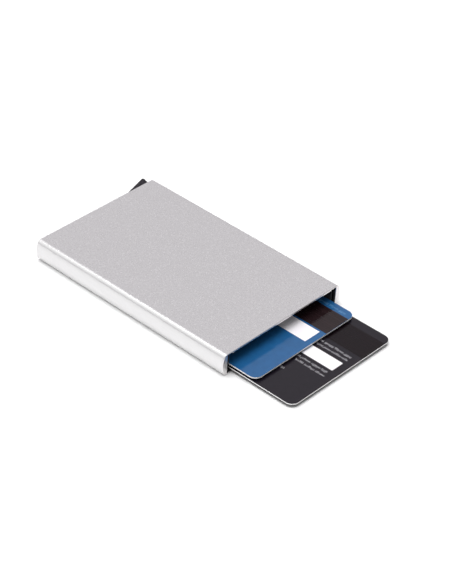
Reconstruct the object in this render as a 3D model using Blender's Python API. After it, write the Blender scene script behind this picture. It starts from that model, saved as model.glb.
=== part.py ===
"""A rigid aluminium card holder that pushes its cards out with a lever, and two cards part way out of it.

X is the width, Y the length with the mouth at -Y, and Z is up. The origin is the middle of the sleeve's
underside. All sizes are in metres.
"""
import math

import bmesh
import bpy
from mathutils import Matrix, Vector

# Clearances
FIT_GAP = 0.0003
SNUG_GAP = 0.0001
LAYER_GAP = 0.00001
OVERRUN = 0.0020
MERGE_DISTANCE = 0.000002

# Cards: the ID-1 format, built up from a core, two printed films, a stripe and a signature panel
CARD_LENGTH = 0.08560
CARD_WIDTH = 0.05398
CARD_CORNER_RADIUS = 0.00318
CARD_CORE_THICKNESS = 0.00058
CARD_FILM_THICKNESS = 0.00008
CARD_OVERLAY_THICKNESS = 0.00004
STRIPE_WIDTH = 0.0123
STRIPE_FROM_EDGE = 0.0041
STRIPE_END_INSET = 0.00005

# Where the cards lie: how far each reaches out of the mouth, and the clear height below each
BLACK_CARD_REACH = 0.0288
BLUE_CARD_REACH = 0.0116
BLACK_CARD_LIFT = 0.0003
BLUE_CARD_LIFT = 0.00074
BLACK_PANEL = {"width": 0.0059, "length": 0.0600, "from_stripe": 0.0071, "from_end": 0.0032}
BLUE_PANEL = {"width": 0.0080, "length": 0.0640, "from_stripe": 0.0009, "from_end": 0.0024}

# Rails along the side walls, and the soft strips that they hold
RAIL_WEB = 0.0006
RAIL_LIP = 0.0006
RAIL_LIP_SETBACK = 0.0002
RAIL_MOUTH_INSET = 0.0005
STRIP_THICKNESS = 0.00071
STRIP_END_INSET = 0.0004

# Lever: a drum on a pin, a tab outside the far end and a stepped arm across the sleeve
PIVOT_FROM_SIDE = 0.0145
PIVOT_FROM_END = 0.0048
LEVER_TURN = math.radians(32)
DRUM_RADIUS = 0.00634
HUB_END_TURN = math.radians(300)
ARM_FRONT = 0.0043
ARM_BACK = 0.0005
ARM_END_INSET = 0.0010
ARM_FLOOR_GAP = 0.00035
ARM_CARD_GAP = 0.0007
ARM_ROOT_RADIUS = 0.0050
STEP_RISE = 0.00135
TOP_STEP_THROW = 0.0048
TAB_ANGLE = math.radians(16.9)
TAB_SIDE_INSET = 0.0011
TAB_STOP_GAP = 0.0004
TAB_WALL_GAP = 0.0007
TAB_TIP_RADIUS = 0.0008
TAB_END_LEAN = math.radians(15)
TAB_HEEL_DEPTH = 0.0028

# Pin and its return spring
PIN_RADIUS = 0.0010
PIN_SEAT_GAP = 0.00004
PIN_RUNNING_GAP = 0.00008
SPRING_WIRE_RADIUS = 0.000175
SPRING_COIL_RADIUS = 0.0018
SPRING_PITCH = 0.00048
SPRING_TURNS = 2.25
SPRING_TANG = 0.0009
SPRING_POINTS_PER_TURN = 12
POCKET_RADIUS = 0.0026
POCKET_DEPTH = 0.0016
TANG_HOLE_RADIUS = 0.00035

# End block: a bar across the far end with two plates that hold the pin
BLOCK_SETBACK = 0.0005
BLOCK_BAR_DEPTH = 0.0044
PLATE_THICKNESS = 0.0008
PLATE_RADIUS = 0.0046
POST_WIDTH = 0.0035
POST_LENGTH = 0.0042
KEY_WIDTH = 0.0020
KEY_ROOT = 0.0004
RIB_POCKET_WALL = 0.0010
RIB_POCKET_DEPTH = 0.0030
RIB_POCKET_COUNT = 4

# Sleeve: an extrusion with flat faces and bulging sides, sized round a stored card and the lever behind it
MOUTH_ROOM = 0.0006
CASE_LENGTH = MOUTH_ROOM + CARD_LENGTH + ARM_CARD_GAP + ARM_FRONT + PIVOT_FROM_END
CASE_SIDE_WALL = 0.0025
SIDE_ROOM = FIT_GAP + STRIP_THICKNESS + SNUG_GAP + RAIL_WEB + FIT_GAP
CASE_WIDTH = CARD_WIDTH + 2 * (SIDE_ROOM + CASE_SIDE_WALL)
CASE_HEIGHT = 0.0090
CASE_WALL = 0.0008
CASE_SIDE_RADIUS = 0.0090
CASE_CORNER_RADIUS = 0.0020
CHANNEL_WIDTH = FIT_GAP + KEY_WIDTH + FIT_GAP
CHANNEL_DEPTH = 0.0003

# Facets
CORNER_STEPS = 8
SIDE_STEPS = 6
ROUND_SIDES = 32
DRUM_STEPS = 14
TIP_STEPS = 4

# Places worked out from the sizes above
FLOOR = CASE_WALL
ROOF = CASE_HEIGHT - CASE_WALL
CAVITY_HALF_WIDTH = CASE_WIDTH / 2 - CASE_SIDE_WALL
MOUTH_Y = -CASE_LENGTH / 2
FAR_Y = CASE_LENGTH / 2
PIVOT = Vector((CASE_WIDTH / 2 - PIVOT_FROM_SIDE, FAR_Y - PIVOT_FROM_END, 0.0))
CARD_THICKNESS = CARD_CORE_THICKNESS + 2 * (CARD_FILM_THICKNESS + LAYER_GAP)
CARD_OVERLAY_TOP = CARD_THICKNESS + LAYER_GAP + CARD_OVERLAY_THICKNESS
BLACK_CARD_LOW = FLOOR + BLACK_CARD_LIFT
BLUE_CARD_LOW = BLACK_CARD_LOW + CARD_THICKNESS + BLUE_CARD_LIFT
BLOCK_LOW = FLOOR + FIT_GAP
BLOCK_HIGH = ROOF - FIT_GAP
BLOCK_HALF_WIDTH = CAVITY_HALF_WIDTH - FIT_GAP
BLOCK_FAR_Y = FAR_Y - BLOCK_SETBACK
BLOCK_BAR_Y = BLOCK_FAR_Y - BLOCK_BAR_DEPTH
LOWER_PLATE_TOP = BLOCK_LOW + PLATE_THICKNESS
UPPER_PLATE_LOW = BLOCK_HIGH - PLATE_THICKNESS
PLATE_FRONT_Y = PIVOT.y - PLATE_RADIUS
STORED_CARD_BACK = PIVOT.y - ARM_FRONT - ARM_CARD_GAP
LEVER_LOW = LOWER_PLATE_TOP + FIT_GAP
LEVER_HIGH = UPPER_PLATE_LOW - FIT_GAP
POCKET_FLOOR = LEVER_HIGH - POCKET_DEPTH


def start_collection(name):
    """A new collection in the scene."""
    collection = bpy.data.collections.new(name)
    bpy.context.scene.collection.children.link(collection)
    return collection


def clear_scene():
    """Remove what the scene starts with."""
    for item in list(bpy.data.objects):
        bpy.data.objects.remove(item, do_unlink=True)


clear_scene()
PARTS = start_collection("card_holder")
CUTTERS = start_collection("cutters_and_blanks")


def material(name, colour, roughness, metallic=0.0):
    """A plain finish for one piece."""
    finish = bpy.data.materials.new(name)
    finish.use_nodes = True
    shader = finish.node_tree.nodes["Principled BSDF"]
    shader.inputs["Base Color"].default_value = (*colour, 1.0)
    shader.inputs["Roughness"].default_value = roughness
    shader.inputs["Metallic"].default_value = metallic
    finish.diffuse_color = (*colour, 1.0)
    return finish


def add_mesh(name, shape):
    """A flat shaded object in the parts collection from a bmesh, with its normals facing out."""
    bmesh.ops.recalc_face_normals(shape, faces=shape.faces)
    mesh = bpy.data.meshes.new(name)
    shape.to_mesh(mesh)
    shape.free()
    mesh.shade_flat()
    piece = bpy.data.objects.new(name, mesh)
    PARTS.objects.link(piece)
    return piece


def box(name, low, high):
    """A box between two corners."""
    low, high = Vector(low), Vector(high)
    shape = bmesh.new()
    placed = Matrix.Translation((low + high) / 2) @ Matrix.Diagonal((*(high - low), 1.0))
    bmesh.ops.create_cube(shape, size=1.0, matrix=placed)
    return add_mesh(name, shape)


def cylinder(name, centre, radius, low, high):
    """An upright cylinder about a point in plan."""
    shape = bmesh.new()
    placed = Matrix.Translation((centre[0], centre[1], (low + high) / 2))
    bmesh.ops.create_cone(shape, cap_ends=True, segments=ROUND_SIDES, radius1=radius, radius2=radius,
                          depth=high - low, matrix=placed)
    return add_mesh(name, shape)


def prism(name, outline, low, high, along_y=False):
    """A flat outline drawn out from low to high, up Z from a plan or along Y from a front view."""
    curve = bpy.data.curves.new(name, "CURVE")
    curve.dimensions = "2D"
    curve.fill_mode = "BOTH"
    curve.extrude = (high - low) / 2
    spline = curve.splines.new("POLY")
    spline.points.add(len(outline) - 1)
    for point, place in zip(spline.points, outline):
        point.co = (place[0], place[1], 0.0, 1.0)
    spline.use_cyclic_u = True
    drawn = bpy.data.objects.new(name, curve)
    PARTS.objects.link(drawn)
    middle = (low + high) / 2
    if along_y:
        drawn.location = (0.0, middle, 0.0)
        drawn.rotation_euler = (math.radians(90), 0.0, 0.0)
    else:
        drawn.location = (0.0, 0.0, middle)
    return mesh_from_curve(drawn)


def mesh_from_curve(drawn):
    """Turn a curve object into a mesh object in the same place, with its caps welded on."""
    bpy.context.view_layer.update()
    name, placed = drawn.name, drawn.matrix_world.copy()
    evaluated = drawn.evaluated_get(bpy.context.evaluated_depsgraph_get())
    mesh = bpy.data.meshes.new_from_object(evaluated)
    shape = bmesh.new()
    shape.from_mesh(mesh)
    bmesh.ops.remove_doubles(shape, verts=shape.verts, dist=MERGE_DISTANCE)
    bpy.data.meshes.remove(mesh)
    bpy.data.objects.remove(drawn, do_unlink=True)
    piece = add_mesh(name, shape)
    piece.matrix_world = placed
    return piece


def use_as_blank(piece):
    """Move a piece out of the parts, to be only a cutter or something joined to another."""
    PARTS.objects.unlink(piece)
    CUTTERS.objects.link(piece)
    piece.hide_render = True
    piece.display_type = "WIRE"


def combine(piece, other, operation):
    """Cut or join one object with another, which stays behind as a blank."""
    use_as_blank(other)
    step = piece.modifiers.new(other.name, "BOOLEAN")
    step.operation = operation
    step.solver = "EXACT"
    step.object = other


def cut(piece, *others):
    """Take the others away from a piece."""
    for other in others:
        combine(piece, other, "DIFFERENCE")


def join(piece, *others):
    """Add the others to a piece."""
    for other in others:
        combine(piece, other, "UNION")


def arc(centre, radius, start, end, steps):
    """Points along an arc from one angle to another, both ends included."""
    turns = [start + (end - start) * step / steps for step in range(steps + 1)]
    return [(centre[0] + radius * math.cos(turn), centre[1] + radius * math.sin(turn)) for turn in turns]


def mirrored(half):
    """A right half followed by its mirror image, as one closed outline."""
    return half + [(-x, z) for x, z in reversed(half)]


def case_outline():
    """The sleeve's outer section: flats, tight corner arcs and a shallow arc down each side."""
    side_x = CASE_WIDTH / 2 - CASE_SIDE_RADIUS
    reach = CASE_SIDE_RADIUS - CASE_CORNER_RADIUS
    rise = CASE_HEIGHT / 2 - CASE_CORNER_RADIUS
    corner_x = side_x + math.sqrt(reach ** 2 - rise ** 2)
    tilt = math.atan2(rise, corner_x - side_x)
    quarter = math.radians(90)
    lower = arc((corner_x, CASE_CORNER_RADIUS), CASE_CORNER_RADIUS, -quarter, -tilt, CORNER_STEPS)
    side = arc((side_x, CASE_HEIGHT / 2), CASE_SIDE_RADIUS, -tilt, tilt, SIDE_STEPS)
    high_z = CASE_HEIGHT - CASE_CORNER_RADIUS
    upper = arc((corner_x, high_z), CASE_CORNER_RADIUS, tilt, quarter, CORNER_STEPS)
    return mirrored(lower + side[1:-1] + upper)


def cavity_outline():
    """The sleeve's inside section: a box with a shallow channel beside each side wall."""
    inner_x = CAVITY_HALF_WIDTH - CHANNEL_WIDTH
    half = [
        (inner_x, FLOOR),
        (inner_x, FLOOR - CHANNEL_DEPTH),
        (CAVITY_HALF_WIDTH, FLOOR - CHANNEL_DEPTH),
        (CAVITY_HALF_WIDTH, ROOF + CHANNEL_DEPTH),
        (inner_x, ROOF + CHANNEL_DEPTH),
        (inner_x, ROOF),
    ]
    return mirrored(half)


def make_case():
    """The sleeve, open at both ends."""
    shell = prism("case_shell", case_outline(), MOUTH_Y, FAR_Y, along_y=True)
    cut(shell, prism("case_cavity", cavity_outline(), MOUTH_Y - OVERRUN, FAR_Y + OVERRUN, along_y=True))
    return shell


def make_side(side, sign):
    """One rail in the channels beside a side wall, and the soft strip that it holds."""
    strip_inner = CARD_WIDTH / 2 + FIT_GAP
    strip_outer = strip_inner + STRIP_THICKNESS
    lip_inner = strip_inner + RAIL_LIP_SETBACK
    web_inner = strip_outer + SNUG_GAP
    outer = web_inner + RAIL_WEB
    low, high = FLOOR, ROOF
    outline = [
        (outer, low), (outer, high),
        (lip_inner, high), (lip_inner, high - RAIL_LIP), (web_inner, high - RAIL_LIP),
        (web_inner, low + RAIL_LIP), (lip_inner, low + RAIL_LIP), (lip_inner, low),
    ]
    front = MOUTH_Y + RAIL_MOUTH_INSET
    back = PLATE_FRONT_Y - FIT_GAP
    rail = prism(f"side_rail_{side}", [(sign * x, z) for x, z in outline], front, back, along_y=True)
    strip_x = sorted((sign * strip_inner, sign * strip_outer))
    strip_low = low + RAIL_LIP + SNUG_GAP
    strip_high = high - RAIL_LIP - SNUG_GAP
    strip = box(f"grip_strip_{side}", (strip_x[0], front + STRIP_END_INSET, strip_low),
                (strip_x[1], back - STRIP_END_INSET, strip_high))
    return rail, strip


def block_outline():
    """The end block in plan: a bar on the left that runs on round the pin to the right side."""
    bar_turn = math.radians(180) + math.asin((PIVOT.y - BLOCK_BAR_Y) / PLATE_RADIUS)
    round_pin = arc(PIVOT, PLATE_RADIUS, bar_turn, math.radians(270), CORNER_STEPS)
    right = [(BLOCK_HALF_WIDTH, PLATE_FRONT_Y), (BLOCK_HALF_WIDTH, BLOCK_FAR_Y)]
    return [(-BLOCK_HALF_WIDTH, BLOCK_BAR_Y)] + round_pin + right + [(-BLOCK_HALF_WIDTH, BLOCK_FAR_Y)]


def lever_room_outline():
    """The room that the lever turns in, in plan: it leaves the bar and the stop post standing."""
    room_radius = DRUM_RADIUS + FIT_GAP
    round_drum = arc(PIVOT, room_radius, math.radians(90), math.radians(270), 2 * DRUM_STEPS)
    post_left = BLOCK_HALF_WIDTH - POST_WIDTH
    post_back = PLATE_FRONT_Y + POST_LENGTH
    clear_x = BLOCK_HALF_WIDTH + OVERRUN
    right = [(post_left, PIVOT.y - room_radius), (post_left, post_back), (clear_x, post_back)]
    return round_drum + right + [(clear_x, PIVOT.y + room_radius)]


def block_keys():
    """Tongues that slide in the sleeve's channels, left and right, below and above."""
    keys = []
    for side, sign in (("left", -1), ("right", 1)):
        across = sorted((sign * (BLOCK_HALF_WIDTH - KEY_WIDTH), sign * (BLOCK_HALF_WIDTH - SNUG_GAP)))
        for level, low, high in (
            ("low", BLOCK_LOW - CHANNEL_DEPTH, BLOCK_LOW + KEY_ROOT),
            ("high", BLOCK_HIGH - KEY_ROOT, BLOCK_HIGH + CHANNEL_DEPTH),
        ):
            keys.append(box(f"key_{side}_{level}", (across[0], BLOCK_BAR_Y + SNUG_GAP, low),
                            (across[1], BLOCK_FAR_Y - SNUG_GAP, high)))
    return keys


def rib_pockets(bar_left, bar_right):
    """Hollows moulded into the bar from inside the sleeve, with ribs between them."""
    span = (bar_right - bar_left - RIB_POCKET_WALL) / RIB_POCKET_COUNT
    pockets = []
    for index in range(RIB_POCKET_COUNT):
        left = bar_left + RIB_POCKET_WALL + span * index
        pockets.append(box(
            f"rib_pocket_{index + 1}",
            (left, BLOCK_BAR_Y - OVERRUN, BLOCK_LOW + RIB_POCKET_WALL),
            (left + span - RIB_POCKET_WALL, BLOCK_BAR_Y + RIB_POCKET_DEPTH, BLOCK_HIGH - RIB_POCKET_WALL),
        ))
    return pockets


def make_end_block():
    """The moulded block in the far end: a bar, and two plates with a post between them that hold the pin."""
    block = prism("end_block", block_outline(), BLOCK_LOW, BLOCK_HIGH)
    cut(block, prism("lever_room", lever_room_outline(), LOWER_PLATE_TOP, UPPER_PLATE_LOW))
    cut(block, *rib_pockets(-BLOCK_HALF_WIDTH, PIVOT.x - DRUM_RADIUS - FIT_GAP))
    cut(block, cylinder("pin_seat", PIVOT, PIN_RADIUS + PIN_SEAT_GAP, FLOOR - OVERRUN, ROOF + OVERRUN))
    tang = PIVOT + spring_tang_place(SPRING_TURNS)
    cut(block, cylinder("upper_tang_hole", tang, TANG_HOLE_RADIUS, LEVER_HIGH, ROOF + OVERRUN))
    join(block, *block_keys())
    return block


def make_pin():
    """The steel pin through the plates and the lever."""
    return cylinder("pivot_pin", PIVOT, PIN_RADIUS, BLOCK_LOW, BLOCK_HIGH)


def spring_tang_place(turns):
    """Where the coil is, from the pin, after so many turns."""
    angle = math.radians(180) - math.tau * turns
    return Vector((SPRING_COIL_RADIUS * math.cos(angle), SPRING_COIL_RADIUS * math.sin(angle), 0.0))


def make_spring():
    """A torsion spring on the pin: one tang goes down into the lever and one up into the block."""
    height = SPRING_PITCH * SPRING_TURNS
    low = (POCKET_FLOOR + LEVER_HIGH - height) / 2
    count = round(SPRING_POINTS_PER_TURN * SPRING_TURNS)
    places = [PIVOT + spring_tang_place(0.0) + Vector((0.0, 0.0, low - SPRING_TANG))]
    for index in range(count + 1):
        turns = SPRING_TURNS * index / count
        places.append(PIVOT + spring_tang_place(turns) + Vector((0.0, 0.0, low + SPRING_PITCH * turns)))
    places.append(places[-1] + Vector((0.0, 0.0, SPRING_TANG)))
    curve = bpy.data.curves.new("return_spring", "CURVE")
    curve.dimensions = "3D"
    curve.bevel_depth = SPRING_WIRE_RADIUS
    curve.bevel_resolution = 2
    curve.use_fill_caps = True
    spline = curve.splines.new("POLY")
    spline.points.add(len(places) - 1)
    for point, place in zip(spline.points, places):
        point.co = (*place, 1.0)
    spring = bpy.data.objects.new("return_spring", curve)
    PARTS.objects.link(spring)
    return spring


def step_length(throw):
    """How far along the arm a step ends, to move a stored card by this much at full turn."""
    reached = STORED_CARD_BACK - throw + FIT_GAP
    drop = PIVOT.y - reached - ARM_FRONT * math.cos(LEVER_TURN)
    return drop / math.sin(LEVER_TURN)


def lever_outline():
    """The lever's drum and tab in plan, from the pin."""
    side_x = CASE_WIDTH / 2 - TAB_SIDE_INSET - PIVOT.x
    wall_x = CAVITY_HALF_WIDTH - TAB_WALL_GAP - PIVOT.x
    stop_y = PIVOT_FROM_END + TAB_STOP_GAP
    across = math.radians(90) + TAB_ANGLE
    arm_back = math.radians(180) + math.asin((ARM_BACK + SNUG_GAP) / DRUM_RADIUS)
    drum = arc((0.0, 0.0), DRUM_RADIUS, across, arm_back, DRUM_STEPS)
    hub_radius = ARM_FRONT - SNUG_GAP
    hub = arc((0.0, 0.0), hub_radius, math.radians(270), HUB_END_TURN, CORNER_STEPS)
    tip_x = side_x - TAB_TIP_RADIUS
    tip_y = (DRUM_RADIUS - TAB_TIP_RADIUS + tip_x * math.sin(TAB_ANGLE)) / math.cos(TAB_ANGLE)
    tip = arc((tip_x, tip_y), TAB_TIP_RADIUS, -TAB_END_LEAN, across, TIP_STEPS)
    foot_x = tip[0][0] - (tip[0][1] - stop_y) * math.tan(TAB_END_LEAN)
    heel = [(wall_x, stop_y - TAB_HEEL_DEPTH), (wall_x, stop_y), (foot_x, stop_y)]
    return drum + [(drum[-1][0], -hub_radius)] + hub + heel + tip


def arm_outline():
    """The stepped arm seen from the mouth, from the pin: the lowest step is the longest."""
    low = FLOOR + ARM_FLOOR_GAP
    first_top = (BLACK_CARD_LOW + CARD_OVERLAY_TOP + BLUE_CARD_LOW) / 2
    blue_card_throw = STORED_CARD_BACK - (MOUTH_Y - BLUE_CARD_REACH + CARD_LENGTH)
    whole_arm = PIVOT.x + CARD_WIDTH / 2 - ARM_END_INSET
    lengths = [step_length(TOP_STEP_THROW), step_length(blue_card_throw), whole_arm]
    tops = [first_top + 2 * STEP_RISE, first_top + STEP_RISE, first_top]
    outline = [(-whole_arm, low), (0.0, low)]
    for length, top in zip(lengths, tops):
        outline += [(outline[-1][0], top), (-length, top)]
    return outline


def make_lever(anchor):
    """The ejector lever, one moulding that turns on the pin."""
    shift = (PIVOT.x, PIVOT.y)
    plan = [(x + shift[0], y + shift[1]) for x, y in lever_outline()]
    lever = prism("ejector_lever", plan, LEVER_LOW, LEVER_HIGH)
    side_view = [(x + shift[0], z) for x, z in arm_outline()]
    arm = prism("stepped_arm", side_view, PIVOT.y - ARM_FRONT, PIVOT.y - ARM_BACK, along_y=True)
    cut(arm, cylinder("plate_room", PIVOT, ARM_ROOT_RADIUS, FLOOR - OVERRUN, LEVER_LOW + FIT_GAP))
    join(lever, arm)
    cut(lever, cylinder("pin_bore", PIVOT, PIN_RADIUS + PIN_RUNNING_GAP, FLOOR - OVERRUN, ROOF + OVERRUN))
    cut(lever, cylinder("spring_pocket", PIVOT, POCKET_RADIUS, POCKET_FLOOR, ROOF + OVERRUN))
    tang = PIVOT + spring_tang_place(0.0)
    cut(lever, cylinder("lower_tang_hole", tang, TANG_HOLE_RADIUS, POCKET_FLOOR - SPRING_TANG, ROOF))
    carry(anchor, lever)
    return lever


def card_outline(front_y):
    """A card's rounded rectangle in plan."""
    x = CARD_WIDTH / 2 - CARD_CORNER_RADIUS
    low_y = front_y + CARD_CORNER_RADIUS
    high_y = front_y + CARD_LENGTH - CARD_CORNER_RADIUS
    points = []
    for index, centre in enumerate(((x, high_y), (-x, high_y), (-x, low_y), (x, low_y))):
        start = math.radians(90) * index
        points += arc(centre, CARD_CORNER_RADIUS, start, start + math.radians(90), CORNER_STEPS)
    return points


def make_card(colour_name, reach, low, panel, finishes):
    """A card's layers: face film, core, back film, and on the back a stripe and a signature panel.

    Each card lies with its back up and its stripe on the right.
    """
    front_y = MOUTH_Y - reach
    outline = card_outline(front_y)
    anchor = add_anchor(f"{colour_name}_card_slide", (0.0, front_y, low))
    film_top = low + CARD_FILM_THICKNESS
    core_low = film_top + LAYER_GAP
    core_top = core_low + CARD_CORE_THICKNESS
    back_low = core_top + LAYER_GAP
    overlay_low = low + CARD_THICKNESS + LAYER_GAP
    overlay_top = low + CARD_OVERLAY_TOP
    stripe_right = CARD_WIDTH / 2 - STRIPE_FROM_EDGE
    stripe_left = stripe_right - STRIPE_WIDTH
    panel_right = stripe_left - panel["from_stripe"]
    pieces = {
        "face_film": prism(f"{colour_name}_card_face_film", outline, low, film_top),
        "core": prism(f"{colour_name}_card_core", outline, core_low, core_top),
        "back_film": prism(f"{colour_name}_card_back_film", outline, back_low, low + CARD_THICKNESS),
        "stripe": box(f"{colour_name}_card_stripe",
                      (stripe_left, front_y + STRIPE_END_INSET, overlay_low),
                      (stripe_right, front_y + CARD_LENGTH - STRIPE_END_INSET, overlay_top)),
        "panel": box(f"{colour_name}_card_signature_panel",
                     (panel_right - panel["width"], front_y + panel["from_end"], overlay_low),
                     (panel_right, front_y + panel["from_end"] + panel["length"], overlay_top)),
    }
    for layer, piece in pieces.items():
        piece.data.materials.append(finishes[layer])
        carry(anchor, piece)
    return pieces


def add_anchor(name, place):
    """An empty on a joint's axis, which the moving pieces hang from."""
    anchor = bpy.data.objects.new(name, None)
    PARTS.objects.link(anchor)
    anchor.location = place
    bpy.context.view_layer.update()
    return anchor


def carry(anchor, piece):
    """Hang a piece, and the blanks that shape it, from an anchor without moving them."""
    followers = [piece] + [step.object for step in piece.modifiers if step.type == "BOOLEAN"]
    for follower in followers:
        follower.parent = anchor
        follower.matrix_parent_inverse = anchor.matrix_world.inverted()


def build():
    """Make every piece and give it its finish."""
    black_plastic = (0.032, 0.030, 0.034)
    make_case().data.materials.append(material("blasted_aluminium", (0.62, 0.61, 0.62), 0.45, 1.0))
    make_end_block().data.materials.append(material("block_plastic", black_plastic, 0.55))
    make_pin().data.materials.append(material("pin_steel", (0.60, 0.60, 0.62), 0.25, 1.0))
    make_spring().data.materials.append(material("spring_steel", (0.50, 0.50, 0.52), 0.30, 1.0))
    for side, sign in (("left", -1), ("right", 1)):
        rail, strip = make_side(side, sign)
        rail.data.materials.append(material(f"rail_plastic_{side}", black_plastic, 0.60))
        strip.data.materials.append(material(f"strip_pile_{side}", (0.012, 0.012, 0.013), 0.95))
    lever_anchor = add_anchor("lever_pivot", PIVOT)
    make_lever(lever_anchor).data.materials.append(material("lever_plastic", (0.038, 0.036, 0.040), 0.50))
    make_card(
        "blue", BLUE_CARD_REACH, BLUE_CARD_LOW, BLUE_PANEL,
        {"face_film": material("blue_face_print", (0.055, 0.160, 0.375), 0.35),
         "core": material("blue_core_white", (0.80, 0.80, 0.79), 0.50),
         "back_film": material("blue_back_print", (0.055, 0.160, 0.375), 0.30),
         "stripe": material("blue_stripe_tape", (0.050, 0.035, 0.037), 0.35),
         "panel": material("blue_panel_ink", (0.85, 0.85, 0.85), 0.60)},
    )
    make_card(
        "black", BLACK_CARD_REACH, BLACK_CARD_LOW, BLACK_PANEL,
        {"face_film": material("black_face_print", (0.040, 0.037, 0.042), 0.35),
         "core": material("black_core_white", (0.80, 0.80, 0.79), 0.50),
         "back_film": material("black_back_print", (0.042, 0.039, 0.045), 0.30),
         "stripe": material("black_stripe_tape", (0.034, 0.028, 0.032), 0.35),
         "panel": material("black_panel_ink", (0.85, 0.85, 0.85), 0.60)},
    )


build()
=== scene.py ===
"""A rigid aluminium card holder, with two bank cards part way out of its mouth, on a white ground.

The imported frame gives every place, in metres: X is the width, Y the length with the mouth at -Y, and Z is up.
Each node of the frame has a piece here in its place, with finer curves, broken edges and its own finish.
The end block's keys and the cards' small print are pieces besides.
"""
import math
import random

import bmesh
import bpy
from mathutils import Matrix, Vector


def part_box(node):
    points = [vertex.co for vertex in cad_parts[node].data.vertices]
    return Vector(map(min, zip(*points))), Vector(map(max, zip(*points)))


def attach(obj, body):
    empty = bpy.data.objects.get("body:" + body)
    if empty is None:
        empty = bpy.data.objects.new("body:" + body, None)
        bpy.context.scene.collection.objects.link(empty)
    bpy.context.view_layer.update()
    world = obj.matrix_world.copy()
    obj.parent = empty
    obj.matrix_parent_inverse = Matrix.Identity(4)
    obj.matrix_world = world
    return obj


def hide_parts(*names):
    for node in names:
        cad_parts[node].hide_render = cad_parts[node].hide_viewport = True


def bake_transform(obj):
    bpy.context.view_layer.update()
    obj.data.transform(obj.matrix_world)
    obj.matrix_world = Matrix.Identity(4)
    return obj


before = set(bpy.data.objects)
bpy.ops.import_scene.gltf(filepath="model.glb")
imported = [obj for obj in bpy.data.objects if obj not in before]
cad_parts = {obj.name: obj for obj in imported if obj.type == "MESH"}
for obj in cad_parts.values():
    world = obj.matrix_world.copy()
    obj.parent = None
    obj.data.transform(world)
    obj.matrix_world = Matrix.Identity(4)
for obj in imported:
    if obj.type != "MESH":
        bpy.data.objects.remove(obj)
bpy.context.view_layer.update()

# Camera, fitted to the cards' edges and the sleeve's corners in the photograph
CAMERA_PLACE = (-0.42276, -0.39044, 0.42330)
CAMERA_HEADING = math.radians(-48.77)
CAMERA_TILT = math.radians(53.41)
CAMERA_ROLL = math.radians(3.27)
SENSOR_MM = 36.0
FOCAL_LENGTH_MM = 118.11

# Sleeve
SIDE_RADIUS = 0.0090
CORNER_RADIUS = 0.0020
WALL = 0.0008
SIDE_WALL = 0.0025
CHANNEL_WIDTH = 0.0026
CHANNEL_DEPTH = 0.0003
CASE_EDGE_BREAK = 0.00015
CORNER_STEPS = 20
SIDE_STEPS = 16

# Cards
CARD_CORNER_RADIUS = 0.00318
CARD_CORNER_STEPS = 24
FILM_EDGE_BREAK = 0.00003
CORE_EDGE_BREAK = 0.00002
OVERLAY_BREAK_SHARE = 1 / 3
STRIPE_COAT_SHARE = 0.60
FACE_COAT_SHARE = 0.10

# Small print
PRINT_HEIGHT = 0.0010
PRINT_LINE = 0.00017
PRINT_THICKNESS = 0.000006
PRINT_LIFT = 0.000001
TICK_PITCH = 0.00052
TICKS_IN_GROUP = (4, 9)
TICK_HEIGHT_SHARES = (0.65, 0.75, 1.0)
DASH_SHARE = 0.6
PRINT_SEED = 7

# Each card's looks: a row of print is its distance from the middle, its start and its end from the front edge
BLUE_CARD = {
    "ink": (0.0135, 0.098, 0.256),
    "coat": 0.86,
    "tape": (0.0165, 0.0085, 0.0098),
    "strokes": (0.100, 0.260, 0.480),
    # painted shade at the foot of the core's cut edge: the heights where it is full and where it has faded
    "painted_shade_band": (0.00004, 0.00014),
    "rows": [(0.0246, 0.0030, 0.0120)],
}
BLACK_CARD = {
    "ink": (0.0100, 0.0078, 0.0126),
    "coat": 0.54,
    "tape": (0.0060, 0.0030, 0.0045),
    "strokes": (0.48, 0.47, 0.50),
    # painted shade at the foot of the core's cut edge: the heights where it is full and where it has faded
    "painted_shade_band": (0.00012, 0.00020),
    "rows": [
        (0.0080, 0.0033, 0.0170),
        (0.0057, 0.0033, 0.0150),
        (-0.0045, 0.0040, 0.0173),
        (-0.0068, 0.0033, 0.0160),
        (-0.0136, 0.0160, 0.0170),
    ],
}

# Lever
DRUM_RADIUS = 0.00634
ARM_FRONT = 0.0043
ARM_BACK = 0.0005
SNUG_GAP = 0.0001
FIT_GAP = 0.0003
HUB_END_TURN = math.radians(300)
TAB_ANGLE = math.radians(16.9)
TAB_WALL_X = 0.0283
TAB_STOP_Y = 0.0484
TAB_HEEL_DEPTH = 0.0028
TAB_TIP_RADIUS = 0.0008
TAB_END_LEAN = math.radians(15)
LEVER_LOW = 0.0022
ARM_ROOT_RADIUS = 0.0050
ARM_STEP_RISE = 0.00135
ARM_CARD_GAP = 0.0007
LEVER_TURN = math.radians(32)
STEP_THROWS = (0.0048, 0.0122)
PIN_BORE_RADIUS = 0.00108
SPRING_POCKET_RADIUS = 0.0026
SPRING_POCKET_FLOOR = 0.0052
LEVER_EDGE_BREAK = 0.00035
LEVER_EDGE_STEPS = 3
ARM_EDGE_BREAK = 0.00012

# End block
BLOCK_LOW = 0.0011
BLOCK_HIGH = 0.0079
PLATE_THICKNESS = 0.0008
PLATE_RADIUS = 0.0046
BAR_DEPTH = 0.0044
ROOM_RADIUS = 0.00664
POST_WIDTH = 0.0035
POST_LENGTH = 0.0042
KEY_WIDTH = 0.0020
KEY_RISE = 0.0003
KEY_ROOT = 0.0004
POCKET_WALL = 0.0010
POCKET_DEPTH = 0.0030
POCKET_COUNT = 4
PIN_SEAT_RADIUS = 0.00104
BLOCK_EDGE_BREAK = 0.00010

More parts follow.
